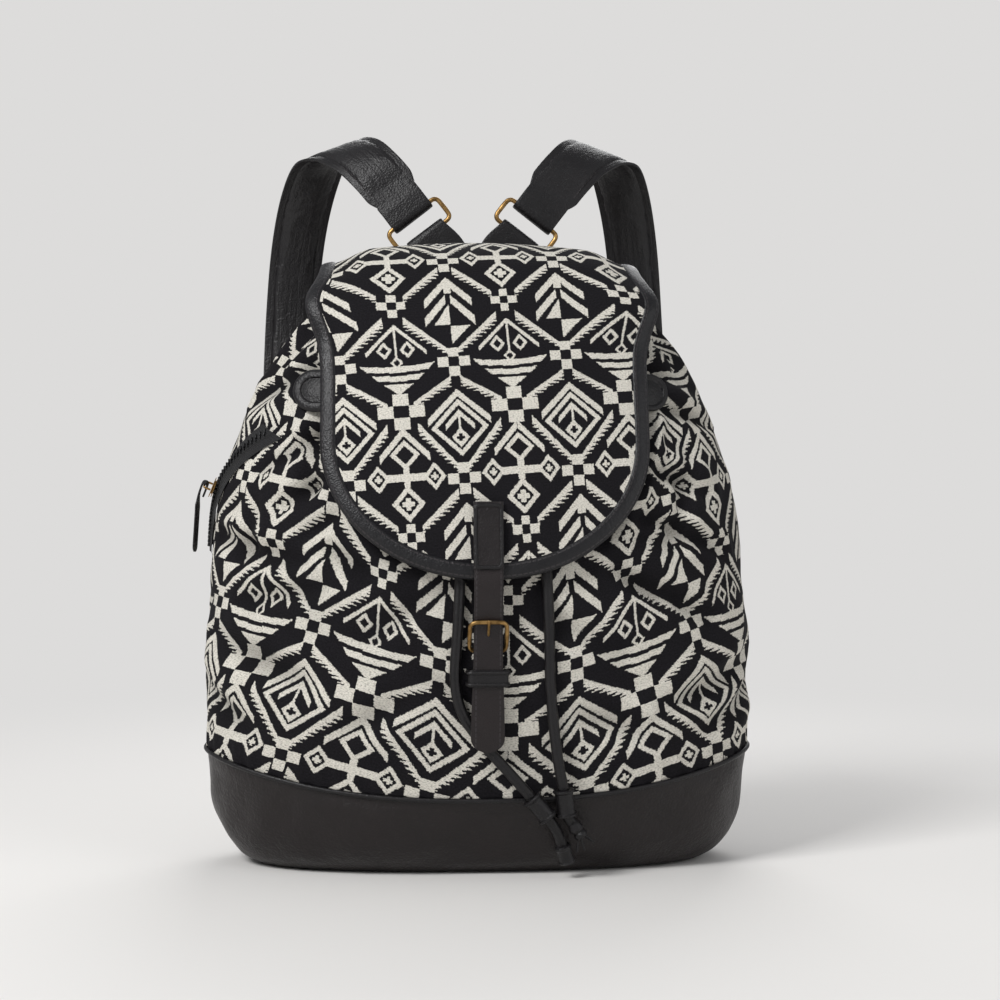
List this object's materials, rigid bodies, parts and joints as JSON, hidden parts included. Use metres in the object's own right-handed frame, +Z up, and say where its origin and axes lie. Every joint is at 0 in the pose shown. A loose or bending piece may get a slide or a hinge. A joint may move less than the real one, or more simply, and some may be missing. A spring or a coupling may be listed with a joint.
{
  "type": "backpack",
  "caption": "Canvas rucksack with a gathered mouth, buckled flap, leather base, drawcords, side zip and padded shoulder straps.",
  "frame": {"origin": "middle of the flat bottom of the leather base", "axes": "+Z up, the flap and buckle face -Y, the shoulder straps are at +Y, +X to the right seen from the flap"},
  "size_m": [0.3776, 0.2804, 0.4955],
  "materials": {
    "black_leather": "satin",
    "canvas": "matte",
    "brass": "aged",
    "zip": "satin",
    "webbing": "matte"
  },
  "bodies": {
    "bag": {"canvas_body": "canvas", "flap": "canvas", "leather_base": "black_leather", "seam_welt": "black_leather", "flap_binding": "black_leather", "closure_strap": "black_leather", "buckle_frame": "brass", "buckle_prong": "brass", "buckle_tab": "black_leather", "strap_keeper": "black_leather", "side_tab_left": "black_leather", "side_tab_right": "black_leather", "zip_tape": "zip", "zip_teeth": "zip", "drawcord_left": "black_leather", "drawcord_right": "black_leather", "cord_sleeve_left": "black_leather", "cord_sleeve_right": "black_leather", "cord_end_left": "black_leather", "cord_end_right": "black_leather", "cord_guide_left": "black_leather", "cord_guide_right": "black_leather", "anchor_loop_left": "black_leather", "anchor_loop_right": "black_leather", "strap_ring_left": "brass", "strap_ring_right": "brass", "strap_end_loop_left": "black_leather", "strap_end_loop_right": "black_leather", "shoulder_strap_left": "black_leather", "shoulder_strap_right": "black_leather", "lower_webbing_left": "webbing", "lower_webbing_right": "webbing", "strap_adjuster_left": "brass", "strap_adjuster_right": "brass", "lower_anchor_left": "black_leather", "lower_anchor_right": "black_leather"},
    "slider": {"zip_slider": "brass", "slider_bail": "brass"},
    "puller": {"zip_puller": "black_leather"}
  },
  "joints": [
    {"name": "zip_run", "type": "hinge", "parent": "bag", "child": "slider", "pos_m": [-0.05184, -0.01462, 0.19408], "axis": [-0.207, -0.7922, -0.5741], "range_deg": [-22, 20]},
    {"name": "puller_swing", "type": "hinge", "parent": "slider", "child": "puller", "pos_m": [-0.17913, -0.01919, 0.24628], "axis": [0.207, 0.7922, 0.5741], "range_deg": [0, 150]}
  ]
}
